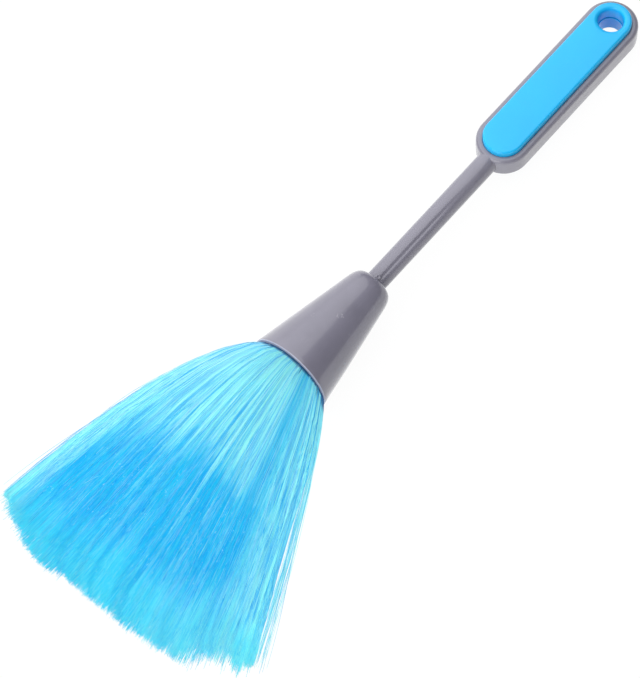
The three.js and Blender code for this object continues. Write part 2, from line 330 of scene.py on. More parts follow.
def mouldedSkinGroup():
    # cloudy tone, fine eroded grain, hairline rubs from use and a few pale specks
    s = skinLook
    group = bpy.data.node_groups.new("mouldedSkin", "ShaderNodeTree")
    taken = {"Vector": "Vector", "Colour": "Color", "Clouds": "Float", "Rubs": "Float", "Roughness": "Float"}
    given = {"Colour": "Color", "Roughness": "Float", "Height": "Float"}
    for way, sockets in (("INPUT", taken), ("OUTPUT", given)):
        for name, kind in sockets.items():
            group.interface.new_socket(name, in_out=way, socket_type="NodeSocket" + kind)
    into, out = group.nodes.new("NodeGroupInput"), group.nodes.new("NodeGroupOutput")
    place = into.outputs["Vector"]
    clouds = spread(group, noise(group, place, *s["clouds"]), *s["cloudRange"], -1, 1)
    grain = noise(group, place, *s["grain"])
    rubLines = noise(group, stretched(group, place, s["rubStretch"]), *s["rubLines"])
    rubAreas = spread(group, noise(group, place, *s["rubAreas"]), *s["areaRange"])
    rubs = mathNode(group, "MULTIPLY", spread(group, rubLines, *s["rubRange"]), rubAreas)
    specks = spread(group, noise(group, place, *s["specks"]), *s["speckRange"])
    tone = mathNode(group, "MULTIPLY_ADD", clouds, into.outputs["Clouds"], 1.0)
    toned = vectorNode(group, "SCALE", {0: into.outputs["Colour"], "Scale": tone})
    pale = mathNode(group, "MULTIPLY", mathNode(group, "MAXIMUM", rubs, specks), into.outputs["Rubs"])
    rough = mathNode(group, "MULTIPLY_ADD", clouds, s["cloudRoughness"], into.outputs["Roughness"])
    feed(group, out, {"Colour": blended(group, pale, toned, s["rubTint"]),
                      "Roughness": mathNode(group, "MULTIPLY_ADD", rubs, s["rubRoughness"], rough),
                      "Height": mathNode(group, "MULTIPLY_ADD", rubs, s["rubHeight"], grain)})
    return group


mouldedSkin = mouldedSkinGroup()


def scuffed(tree, place, tint, centre, radius, strength):
    # pale ring round a centre, both in metres: noise pushes it out of round and breaks it up
    s = scuffLook
    reach = Vector([s["ragReach"]] * 3)
    shift = noise(tree, place, s["rag"], output="Color")
    shifted = vectorNode(tree, "MULTIPLY_ADD", {0: shift, 1: reach, 2: place})
    away = vectorNode(tree, "DISTANCE", {0: shifted, 1: Vector(centre) + reach / 2}, "Value")
    off = mathNode(tree, "ABSOLUTE", mathNode(tree, "SUBTRACT", away, radius))
    broken = spread(tree, noise(tree, place, s["breaks"]), *s["breakRange"])
    ring = mathNode(tree, "MULTIPLY", spread(tree, off, 0, s["width"], strength, 0), broken)
    return blended(tree, ring, tint, s["tint"])


def paintedHighlightRing(tree, place, tint, along, width, strength, lean):
    # painted highlight: a pale line round the brush at this place on its axis, in mm; it lies further back by
    # lean for each mm up
    slope = math.radians(lying["slope"])
    cos, sin = math.cos(slope), math.sin(slope)
    axis = Vector((cos - lean * sin, 0, -sin - lean * cos))
    start = (axis.dot(Vector(lying["mouth"])) + along) / 1000
    far = vectorNode(tree, "DOT_PRODUCT", {0: place, 1: axis}, "Value")
    off = mathNode(tree, "ABSOLUTE", mathNode(tree, "SUBTRACT", far, start))
    return blended(tree, spread(tree, off, 0, width / 1000, strength, 0), tint, paintedHighlightTint)


def plasticMaterial(name, finish, scuffs=(), rings=()):
    # moulded plastic in one tint under a clear coat, with scuffs and rings of painted highlight; grain is its
    # depth in metres
    material = bpy.data.materials.new(name)
    material.use_nodes = True
    tree = material.node_tree
    place = tree.nodes.new("ShaderNodeTexCoord").outputs["Object"]
    skin = tree.nodes.new("ShaderNodeGroup")
    skin.node_tree = mouldedSkin
    feed(tree, skin, {"Vector": place, "Colour": (*finish["tint"], 1), "Clouds": finish["clouds"],
                      "Rubs": finish["rubs"], "Roughness": finish["roughness"]})
    tint = skin.outputs["Colour"]
    for scuff in scuffs:
        tint = scuffed(tree, place, tint, *scuff)
    for ring in rings:
        tint = paintedHighlightRing(tree, place, tint, **ring)
    bump = newNode(tree, "Bump", {"Strength": skinLook["bump"], "Distance": finish["grain"],
                                  "Height": skin.outputs["Height"]})
    feed(tree, tree.nodes["Principled BSDF"], {
        "Base Color": tint, "Roughness": skin.outputs["Roughness"], "Normal": bump.outputs["Normal"],
        "Specular IOR Level": finish["specular"], "Coat Weight": finish["coat"],
        "Coat Roughness": skinLook["coatRoughness"]})
    return material


# Ferrule: the cone that holds the bristles.
ferrule = dict(
    length=35.75, mouth=12.7, wall=1.45, lip=0.2, sides=180,
    oval=0.022, ovalLeft=0.046,  # shares by which the mouth is wider than round
    rimRound=0.3, rimArc=(180, 97), rimSteps=7, rimChamfer=0.3, rimFlare=0.35,
    rimTilt=0.9, rimAhead=0.98, rimTiltMost=1.4, rimTiltEnd=12.0,  # forward shear of the mouth
    coneStart=1.2, coneSteps=14, shoulder=7.3, shoulderStart=31.0, shoulderSteps=18, square=1.3,
    backRing=3.98, bead=0.24, beadArc=(75, -60), beadSteps=7,
    bore=3.43, boreDepth=1.6, boreRound=0.3, boreFlare=0.1,
    socketEnd=21.5, socketInner=2.9, socketOuter=4.3,
    scuffs=((18.6, 103.7, 0.8, 0.36), (16.3, 98, 0.2, 0.32),
            (16.8, 137, 0.3, 0.35), (14.0, 70, 0.7, 0.12)),  # x, degrees round, ring radius, strength
    # painted highlights: a pale line along the rim's edge and one round the back ring
    rimHighlight=dict(width=0.26, strength=0.65), rimHighlightBack=0.1, backHighlight=dict(width=0.3, strength=0.3),
    finish=dict(tint=(0.223, 0.214, 0.278), clouds=0.045, rubs=0.02, roughness=0.32, grain=6e-6,
                coat=0.7, specular=0.5),
)


def coneRadius(x):
    # straight line from the mouth's radius to the shoulder's
    return ferrule["mouth"] - (ferrule["mouth"] - ferrule["shoulder"]) * x / ferrule["shoulderStart"]


def ferruleProfile():
    # round rim, straight cone, shoulder on a conic arc that meets the back ring square on, then the inside:
    # bore round the rod, socket tube, inner cone back to the mouth
    f = ferrule
    length, inner = f["length"], f["mouth"] - f["wall"]
    rim = arcPoints((f["rimRound"] - f["lip"], f["mouth"] - f["rimRound"]), f["rimRound"], *f["rimArc"],
                    f["rimSteps"])
    cone = [(x, coneRadius(x)) for x in np.linspace(f["coneStart"], f["shoulderStart"], f["coneSteps"])]
    t = np.linspace(0, 1, f["shoulderSteps"] + 1)[1:, None]
    ends = (f["shoulderStart"], f["shoulder"]), (length, coneRadius(length)), (length, f["backRing"])
    start, knee, end = (np.array(point) for point in ends)
    weights = (1 - t) ** 2, 2 * f["square"] * t * (1 - t), t ** 2
    shoulder = (weights[0] * start + weights[1] * knee + weights[2] * end) / sum(weights)
    bead = arcPoints((length, f["backRing"] - f["bead"]), f["bead"], *f["beadArc"], f["beadSteps"])
    inside = [(length - f["boreRound"] / 2, f["bore"] + f["boreFlare"]), (length - f["boreRound"], f["bore"]),
              (length - f["boreDepth"], f["bore"]), (length - f["boreDepth"], f["socketInner"]),
              (f["socketEnd"], f["socketInner"]), (f["socketEnd"], f["socketOuter"]),
              (f["shoulderStart"], f["socketOuter"]), (f["shoulderStart"], f["shoulder"] - f["wall"]),
              (f["rimChamfer"], coneRadius(f["rimChamfer"]) - f["wall"]),
              (f["rimChamfer"] / 2 - f["lip"], inner + f["rimFlare"]), (-f["lip"], inner + f["rimChamfer"])]
    return np.concatenate([rim, cone, shoulder, bead, inside])


def ferruleGrid():
    # the turned profile, widened sideways by a share that grows in a straight line from the shoulder to the
    # mouth and is larger on the left; near the mouth it is sheared forward, the more the lower
    f = ferrule
    x, y, z = np.moveaxis(turnedGrid(ferruleProfile(), f["sides"]), -1, 0)
    share = np.where(y > 0, f["ovalLeft"], f["oval"]) * np.clip(1 - x / f["shoulderStart"], 0, 1)
    tilt = f["rimTilt"] * np.minimum(f["rimAhead"] - z / f["mouth"], f["rimTiltMost"])
    return np.stack([x - tilt * smoothRamp(-x, -f["rimTiltEnd"], 0), y * (1 + share), z], -1)


def ferruleMarks():
    # scuffs on the cone's outside, and the painted highlight lines on the sheared rim and on the back ring
    f = ferrule
    scuffs = []
    for x, degrees, radius, strength in f["scuffs"]:
        turn = math.radians(degrees)
        centre = onTable([x, coneRadius(x) * math.cos(turn), coneRadius(x) * math.sin(turn)])
        scuffs.append((centre, radius / 1000, strength))
    rimPlace = f["rimHighlightBack"] - f["lip"] - f["rimTilt"] * f["rimAhead"]
    return scuffs, [dict(along=rimPlace, lean=f["rimTilt"] / f["mouth"], **f["rimHighlight"]),
                    dict(along=f["length"], lean=0.0, **f["backHighlight"])]


greyFerrule = plasticMaterial("greyFerrule", ferrule["finish"], *ferruleMarks())
coneFerrule = gridPiece("coneFerrule", [(ferruleGrid(), True, True)])
settle(coneFerrule, greyFerrule, "ferrule", "ferrule")
print("ferrule built")


# Handle: paddle frame and rod.
paddle = dict(
    near=94.45, far=144.65, halfWidth=8.32, halfThick=3.85, draft=0.05, edgeRound=1.2, edgeSteps=10,
    seamDepth=0.02, seamMiddle=0.02, seamHalf=0.06, seamBevel=0.05, wallMargin=0.12,
    pocket=6.34, pocketLip=0.18, lipSteps=5, web=1.8, collarHole=5.4, arcSteps=49, sideSteps=40,
    finish=dict(tint=(0.251, 0.243, 0.304), clouds=0.03, rubs=0.02, roughness=0.34, grain=1.5e-6,
                coat=0.5, specular=0.5),
)
rod = dict(
    radius=3.33, start=21.5, tenon=2.6, tenonChamfer=0.6, step=35.2, end=87.5, sides=180, steps=90,
    sinkAngle=116, sinkWidth=9.5, sinkDepth=0.25, sinkIn=3.0, sinkOut=25.0, sinkEnd=80.0,  # shrink line
    rise=0.5, riseLength=5.0,
)
gateMark = dict(
    x=36.75, angle=102, radius=0.85, height=0.22, sides=32,
    profile=((0, 0.02), (0.3, 0.03), (0.5, 0.10), (0.65, 0.12), (0.8, 0.10), (0.9, 0.05), (1.0, 0.0),
             (1.0, -0.3)),  # share of the radius, height before it is scaled
)


def paddleProfile():
    # upper half of the paddle's side: from the mould seam up the drafted wall, round the edge, over the rim
    # and down into the pocket; (distance from the centre line, z)
    p = paddle
    groove, wall = p["halfWidth"] - p["seamDepth"], p["halfWidth"] - p["draft"]
    edgeStart = p["halfThick"] - p["edgeRound"]
    seam = [(groove, p["seamMiddle"]), (groove, p["seamHalf"]),
            (p["halfWidth"], p["seamHalf"] + p["seamBevel"]),
            (p["halfWidth"], p["seamHalf"] + p["wallMargin"]), (wall, edgeStart - p["wallMargin"])]
    edge = arcPoints((wall - p["edgeRound"], edgeStart), p["edgeRound"], 0, 90, p["edgeSteps"])
    lip = arcPoints((p["pocket"] + p["pocketLip"], p["halfThick"] - p["pocketLip"]), p["pocketLip"], 90, 180,
                    p["lipSteps"])
    return np.concatenate([seam, edge, lip, [(p["pocket"], p["web"])]])


def paddleGrid():
    # the side profile runs round the outline, then the web goes in to the hanging hole, and the lower half
    # mirrors the upper one
    path = slotPath(paddle["near"], paddle["far"], paddle["arcSteps"], paddle["sideSteps"])
    upper = slotGrid(path, paddleProfile())
    hole = holeGrid(path, paddle["far"], paddle["pocket"],
                    [(paddle["collarHole"], paddle["web"]), (paddle["collarHole"], -paddle["web"])])
    lower = upper[:, ::-1] * np.array([1, 1, -1])
    return np.concatenate([upper, hole, lower], 1)


def rodGrid():
    # cylinder with a stepped tenon; its radius dips along a shrink line that fades out, and its top rises to
    # the paddle's rim
    r = rod
    body = np.linspace(r["step"], r["end"], r["steps"])
    tenon, chamfer = r["tenon"], r["tenonChamfer"]
    x = np.concatenate([[r["start"], r["start"], r["start"] + chamfer, r["step"]], body, [r["end"]]])
    base = np.concatenate([[0, tenon - chamfer, tenon, tenon], np.full(len(body), r["radius"]), [0]])
    turn = np.linspace(0, 2 * np.pi, r["sides"], endpoint=False)[:, None]
    off = (np.degrees(turn) - r["sinkAngle"]) / r["sinkWidth"]
    fadeIn = smoothRamp(x, r["step"], r["step"] + r["sinkIn"])
    fade = fadeIn * (1 - smoothRamp(x, r["sinkEnd"] - r["sinkOut"], r["sinkEnd"]))
    radius = base - r["sinkDepth"] * np.exp(-off ** 2) * fade * (base > tenon)
    lift = r["rise"] * smoothRamp(x, r["end"] - r["riseLength"], r["end"]) * np.clip(np.sin(turn), 0, 1) ** 2
    z = radius * np.sin(turn) + lift * (base > tenon)
    return np.stack([np.broadcast_to(x, radius.shape), radius * np.cos(turn), z], -1)


def gateGrid():
    # small round mark on the rod: a raised ring with a dip in it, laid on the cylinder, its skirt sunk in
    g = gateMark
    share, height = np.array(g["profile"]).T
    turn = np.linspace(0, 2 * np.pi, g["sides"], endpoint=False)[:, None]
    along = g["x"] + g["radius"] * share * np.cos(turn)
    around = math.radians(g["angle"]) + g["radius"] * share * np.sin(turn) / rod["radius"]
    radius = rod["radius"] + height * g["height"] / height.max()
    return np.stack([along, radius * np.cos(around), radius * np.sin(around)], -1)


greyHandle = plasticMaterial("greyHandle", paddle["finish"])
handleGrids = [(paddleGrid(), True, True), (rodGrid(), True, False), (gateGrid(), True, False)]
settle(gridPiece("paddleAndRod", handleGrids), greyHandle, "handle", "handle_body")
print("handle built")


# Panels: the two blue inlays.
panel = dict(
    radius=6.29, under=2.1, ledge=0.5, collar=5.1, edgeRound=0.7,
    faceSteps=18, arcSteps=49, sideSteps=60, edgeSteps=10, flareSteps=7,
    front=dict(face=5.85, crown=0.42, flare=1.35, bore=3.85, collarEnd=1.1),
    rear=dict(face=4.5, crown=0.0, flare=0.2, bore=3.6, collarEnd=-0.8),
    finish=dict(tint=(0.013, 0.535, 1.00), clouds=0.02, rubs=0.01, roughness=0.34, grain=6e-6, coat=0.1,
                specular=0.4),
)


def panelGrid(up):
    # bore and flare round the hanging hole, crowned face from the hole to the outline, round edge, side,
    # underside and collar; the crown falls with the square of the distance from the centre line
    p = {**panel, **panel["front" if up else "rear"]}
    path = slotPath(paddle["near"], paddle["far"], p["arcSteps"], p["sideSteps"])
    flat, edgeStart, under = p["radius"] - p["edgeRound"], p["face"] - p["edgeRound"], p["under"]
    flare = arcPoints((p["bore"] + p["flare"], p["face"] - p["flare"]), p["flare"], 180, 90, p["flareSteps"])
    bore = holeGrid(path, paddle["far"], flat, np.concatenate([[(p["bore"], p["collarEnd"])], flare]))
    edge = arcPoints((flat, edgeStart), p["edgeRound"], 90, 0, p["edgeSteps"])
    side = slotGrid(path, np.concatenate([edge, [(p["radius"], under), (p["radius"] - p["ledge"], under)]]))
    share = np.linspace(0, 1, p["faceSteps"] + 2)[1:-1, None]
    face = bore[:, -1:] + (side[:, :1] - bore[:, -1:]) * share
    collar = holeGrid(path, paddle["far"], flat, [(p["collar"], under), (p["collar"], p["collarEnd"])])
    grid = np.concatenate([bore, face, side, collar], 1)
    x, y, z = np.moveaxis(grid, -1, 0)
    out = np.hypot(x - np.clip(x, paddle["near"], paddle["far"]), y) / p["radius"]
    crown = p["crown"] * np.clip(1 - out ** 2, 0, 1) * smoothRamp(z, under, edgeStart)
    grid[..., 2] += crown
    return grid * np.array([1, 1, 1 if up else -1])


bluePanel = plasticMaterial("bluePanel", panel["finish"])
for name, up, node in (("frontPanel", True, "front_inlay"), ("rearPanel", False, "rear_inlay")):
    settle(gridPiece(name, [(panelGrid(up), True, True)]), bluePanel, "inlay", node)
print("panels built")


# Bristles: four quarter tufts of fine filaments, fused at the root. Places across are shares of the bundle's
# radius, places along a strand run from the mouth (0) to the tip (1).
fan = dict(
    perTuft=3100, seed=23, bundle=11.4, length=83.4, radius=0.070, tipRadius=0.045, taperFrom=0.8,
    leftWidth=46.0, leftPower=0.46, rightWidth=48.4, rightPower=0.70, spreadStart=0.05,
    thickness=16.0, bulge=3.4, lean=-2.6, lift=0.25,
    skinShare=0.5, skinDepth=0.025, skinWave=0.3, coreShare=0.99,
    clumps=110, clumpPull=0.07, pullPower=0.7, clumpScatter=0.03, openFrom=0.05,
    drift=0.05, wave=0.45, ripples=5.0,
    tuck=0.55, tuckFrom=0.8, tuckIn=(0.12, 0.5), tuckOut=(0.7, 1), tuckEnd=0.5, tuckLeast=0.6,
    baseFrom=0.8, baseShare=0.12, baseShort=6.0,
)
trim = dict(
    crown=4.6, topShort=6.0, rightShort=8.4, rightRange=(0.3, 0.82), cornerShort=1.8, cornerRange=(0.7, 1.0),
    notch=2.2, notchAt=-0.77, notchWidth=0.07, leftLong=2.7, leftAt=0.55, leftWidth=0.22,
    lumps=0.5, lumpWaves=((19, 1), (33, 2)), clumps=0.4, strands=0.35, ragged=1.5, raggedRange=(0.4, 0.9),
)  # how the tips are cut, mm and shares
loose = dict(
    stray=dict(count=5, turn=(0.5, 1.45), drift=0.10, wave=2.0, ripples=6.0, cut=14.0, power=1, mapShare=0.4),
    curl=dict(count=14, turn=(0.4, 1.5), drift=0.06, wave=1.5, ripples=22.0, cut=30.0, power=1, mapShare=1.0),
    flank=dict(count=24, turn=(0, 0.62), drift=0.02, wave=1.1, ripples=5.0, cut=5.0, power=2, mapShare=0.4),
    fringe=16, rise=1.015, flankScatter=0.018, curlTip=0.93, curlMap=0.1,
)  # a strand that runs along only a share of the map stays in its pale part
root = dict(start=13.7, end=17.7, radius=6.63, gap=0.15, strandStart=14.6, strandRadius=6.2, arcSteps=12)
strandMap = dict(middle=0.5, half=0.47, jitter=0.0012, corner=0.0003, rootAside=0.25, rootAlong=0.01)
bodySteps = np.array([-1.0, 0.0, 0.05, 0.12, 0.22, 0.36, 0.52, 0.68, 0.84, 1.0])  # -1 is the root
looseSteps = np.concatenate([[-1.0, 0.0, 0.05], np.linspace(0.12, 1.0, 21)])


def bodyDraws(rng, side, level):
    # Random facts of each strand of a tuft. Its place in the round bundle is (across, up); a share of the
    # strands makes a smooth outer layer. Each is drawn towards the middle of its clump, drifts, waves and
    # ends unevenly.
    f, count = fan, fan["perTuft"]
    turn = np.pi / 2 * rng.random(count)
    isSkin = rng.random(count) < f["skinShare"]
    skinRing = 1 - f["skinDepth"] * rng.random(count)
    ring = np.where(isSkin, skinRing, f["coreShare"] * np.sqrt(rng.random(count)))
    spot = ring * np.exp(1j * turn)
    middles = np.sqrt(rng.random(f["clumps"])) * np.exp(1j * np.pi / 2 * rng.random(f["clumps"]))
    nearest = np.abs(spot[:, None] - middles[None, :]).argmin(1)
    scatter = f["clumpScatter"] * (rng.normal(size=(f["clumps"], 2)) @ [1, 1j])
    toMiddle = middles[nearest] - spot + scatter[nearest]
    pull = f["clumpPull"] * rng.random(count) ** f["pullPower"]
    drift = rng.normal(size=(count, 2)) * f["drift"]
    wave = rng.normal(size=(count, 2)) * f["wave"]
    phase = rng.random((count, 2)) * 2 * np.pi
    clumpEnds = trim["clumps"] * rng.normal(size=f["clumps"])
    ragged = 1 + trim["ragged"] * smoothRamp(-side * spot.real, *trim["raggedRange"])
    uneven = clumpEnds[nearest] + trim["strands"] * rng.normal(size=count) * ragged
    return dict(
        across=side * spot.real, up=level * spot.imag, ring=ring, isSkin=isSkin,
        isFlank=np.zeros(count, bool), isCurl=np.zeros(count, bool),
        pull=pull[:, None] * np.stack([side * toMiddle.real, level * toMiddle.imag], -1),
        drift=drift, wave=wave, phase=phase, ripples=np.full(count, f["ripples"]),
        mapShare=np.ones(count), uneven=uneven,
    )


def chosen(draws, mask):
    # the facts of the strands that the mask picks
    return {key: values[mask] for key, values in draws.items()}


def looseDraws(rng, side, level):
    # The few strands that lie loose on the layer: long strays, curls near the tips of the upper tufts, and
    # along the flanks a thin lock that stands off on the right and a fringe on the left.
    table = [loose[kind] for kind in ("stray", "curl", "flank")]
    kinds = np.repeat([0, 1, 2], [loose["stray"]["count"], loose["curl"]["count"] if level > 0 else 0,
                                  loose["flank"]["count"] if side < 0 else loose["fringe"]])
    count = len(kinds)
    drift, wave, ripples, mapShare = (np.choose(kinds, [kind[key] for kind in table])
                                      for key in ("drift", "wave", "ripples", "mapShare"))
    turn = np.choose(kinds, [rng.uniform(*kind["turn"], count) for kind in table])
    ring = np.where(kinds == 2, rng.normal(1.0, loose["flankScatter"], count), loose["rise"])
    spot = ring * np.exp(1j * turn)
    cut = np.choose(kinds, [kind["cut"] * rng.random(count) ** kind["power"] for kind in table])
    return dict(
        across=side * spot.real, up=level * spot.imag, ring=ring, isSkin=np.ones(count, bool),
        isFlank=kinds == 2, isCurl=kinds == 1, pull=np.zeros((count, 2)),
        drift=rng.normal(size=(count, 2)) * drift[:, None], wave=rng.normal(size=(count, 2)) * wave[:, None],
        phase=rng.random((count, 2)) * 2 * np.pi, ripples=ripples, mapShare=mapShare, uneven=-cut,
    )


def tipReach(across, up):
    # length of each strand outside the mouth: a crown that is shorter on the right, with a notch, fuller
    # left of the middle, shorter at the left corner and for the upper layers, with small lumps
    t = trim
    reach = fan["length"] - t["crown"] * across ** 2 - t["rightShort"] * smoothRamp(-across, *t["rightRange"])
    reach -= t["notch"] * np.exp(-((across - t["notchAt"]) / t["notchWidth"]) ** 2)
    reach -= t["cornerShort"] * smoothRamp(across, *t["cornerRange"])
    reach += t["leftLong"] * np.exp(-((across - t["leftAt"]) / t["leftWidth"]) ** 2)
    reach -= t["topShort"] * np.clip(up, 0, 1) ** 2
    coarse, fine = (np.sin(waves * across + phase) for waves, phase in t["lumpWaves"])
    return reach - t["lumps"] * (coarse + fine * (1 - across))


def strandPaths(draws, steps):
    # Outside the mouth the bundle spreads sideways by a root law, swells upwards and turns into a flat layer
    # on the table. The right flank is tucked in behind the loose lock.
    f = fan
    out = np.clip(steps, 0, 1)[None, :]
    opening = smoothRamp(out, f["openFrom"], 1.0)
    a, b = (draws[key][:, None] + draws["pull"][:, i:i + 1] * opening
            + draws["drift"][:, i:i + 1] * opening * out for i, key in enumerate(("across", "up")))
    away = np.hypot(a, b)
    held = np.where(draws["isSkin"][:, None], draws["ring"][:, None], np.minimum(1, away)) / away
    a, b = a * held, b * held
    tucked = f["tuck"] * smoothRamp(out, *f["tuckIn"]) * (1 - f["tuckEnd"] * smoothRamp(out, *f["tuckOut"]))
    tuckShare = f["tuckLeast"] + (1 - f["tuckLeast"]) * draws["phase"][:, 1:] / np.pi  # each strand its own
    a = a + tucked * tuckShare * ~draws["isFlank"][:, None] * np.clip(-a - f["tuckFrom"], 0, None)
    reach = tipReach(draws["across"], draws["up"]) + draws["uneven"]
    x = -reach[:, None] * out
    far = -x / f["length"]
    crowned = f["length"] - trim["crown"]
    power = np.where(draws["across"] > 0, f["leftPower"], f["rightPower"])[:, None]
    widest = np.where(draws["across"] > 0, f["leftWidth"], f["rightWidth"])[:, None]
    opened = [(f["spreadStart"] + d) ** power for d in (0, -x / crowned, 1)]
    width = f["bundle"] + (widest - f["bundle"]) * (opened[1] - opened[0]) / (opened[2] - opened[0])
    rooted = np.sqrt(np.clip(far, 0, 1))
    swell = 4 * f["bulge"] * rooted * (1 - rooted) * np.clip(b, 0, None)
    table = -ferrule["mouth"] + math.tan(math.radians(lying["slope"])) * x + f["lift"]
    layer = (b + np.sqrt(np.clip(1 - a ** 2, 0, 1))) / 2
    flat = smoothRamp(far, 0, 1)
    turns = draws["ripples"][:, None] * far
    swing = ((far * np.sin(turns))[..., None] * np.cos(draws["phase"])[:, None]
             + (far * (np.cos(turns) - 1))[..., None] * np.sin(draws["phase"])[:, None])
    ripple = draws["wave"][:, None] * swing
    y = a * width + f["lean"] * far ** 2 + ripple[..., 0]
    z = (b * f["bundle"] + swell) * (1 - flat) + (table + layer * f["thickness"]) * flat
    z = np.maximum(z + ripple[..., 1] * np.where(draws["isSkin"], f["skinWave"], 1)[:, None], table)
    x[:, 0] = root["strandStart"]
    y[:, 0], z[:, 0] = draws["across"] * root["strandRadius"], draws["up"] * root["strandRadius"]
    return np.stack([x, y, z], -1), a


def mapArrays(u, v):
    # map of the tubes' quads and end triangles; each corner of a tube stands a little further along u
    count, rows = u.shape
    cornerStep = np.array([0, 1, 1, 0])[None, None, :] + np.tile(np.arange(3), rows - 1)[None, :, None]
    uQuad, vQuad = (np.stack([m[:, :-1]] * 2 + [m[:, 1:]] * 2, -1).repeat(3, axis=1) for m in (u, v))
    uEnd, vEnd = (np.concatenate([m[:, 0], m[:, -1]]).repeat(3) for m in (u, v))
    uEnd = uEnd + np.tile(np.arange(3) * strandMap["corner"], 2 * count)
    quadMap = np.stack([uQuad + cornerStep * strandMap["corner"], vQuad], -1).reshape(-1, 2)
    return quadMap, np.stack([uEnd, vEnd], -1)


def tubeArrays(draws, steps, rng):
    # three-sided tubes: at each step three corners stand round the path, square to its direction; on the
    # map, u is the strand's place across the bundle and v runs from the mouth to the tip
    paths, across = strandPaths(draws, steps)
    count, rows = paths.shape[:2]
    along = np.gradient(paths, axis=1)
    along /= np.linalg.norm(along, axis=-1, keepdims=True)
    sideways = np.cross(along, np.array([0.0, 0.0, 1.0]))
    sideways /= np.linalg.norm(sideways, axis=-1, keepdims=True)
    upwards = np.cross(sideways, along)
    thick = np.interp(steps, [fan["taperFrom"], 1.0], [fan["radius"], fan["tipRadius"]])[None, :, None, None]
    turn = (rng.random(count) * 2 * np.pi)[:, None] - np.arange(3) * 2 * np.pi / 3
    turn = turn[:, None, :, None]
    corner = np.cos(turn) * sideways[:, :, None] + np.sin(turn) * upwards[:, :, None]
    points = (paths[:, :, None] + thick * corner).reshape(-1, 3)
    first = (np.arange(count) * rows * 3)[:, None]
    quads = (first[..., None] + gridFaces(rows, 3, False, True)[None]).reshape(-1, 4)
    ends = np.concatenate([first + np.array([2, 1, 0]), first + 3 * rows - np.array([3, 2, 1])])
    jitter = rng.normal(0, strandMap["jitter"], count)[:, None]
    u = across * strandMap["half"] + strandMap["middle"] + jitter
    v = np.clip(steps, 0, 1) * draws["mapShare"][:, None]
    isGlint = draws["isCurl"][:, None] & (steps > loose["curlTip"])  # curled tips catch the light
    return points, quads, ends, *mapArrays(u, np.where(isGlint, loose["curlMap"], v))


def rootArrays(side, level):
    # fused root of a tuft: a quarter disc with a gap to its neighbours, between two flat ends
    r = root
    edge = math.degrees(math.asin(r["gap"] / r["radius"]))
    arc = arcPoints((0, 0), r["radius"], edge, 90 - edge, r["arcSteps"])
    outline = np.concatenate([[(r["gap"], r["gap"])], arc]) * [side, level]
    count = len(outline)
    points = np.concatenate([np.column_stack([np.full(count, x), outline]) for x in (r["start"], r["end"])])
    quads = gridFaces(2, count, False, True)
    fanned = np.column_stack([np.zeros(count - 2, int), np.arange(1, count - 1), np.arange(2, count)])
    ends = np.concatenate([fanned[:, ::-1], fanned + count])
    if side * level < 0:
        quads, ends = quads[:, ::-1], ends[:, ::-1]
    spot = [strandMap["middle"] + strandMap["rootAside"] * side, strandMap["rootAlong"]]
    return points, quads, ends, np.tile(spot, (quads.size, 1)), np.tile(spot, (ends.size, 1))


def tuftMesh(name, groups):
    # joins the arrays of all groups: points, quads, end triangles and the map of both
    points, quads, ends, quadMap, endMap = zip(*groups)
    first = np.cumsum([0] + [len(part) for part in points[:-1]])
    quads, ends = (np.concatenate([part + k for part, k in zip(faces, first)]) for faces in (quads, ends))
    mesh = bpy.data.meshes.new(name)
    fillMesh(mesh, onTable(np.concatenate(points)), quads, ends)
    layer = mesh.uv_layers.new(name="OFBake")
    layer.uv.foreach_set("vector", np.concatenate(quadMap + endMap).ravel())
    return mesh


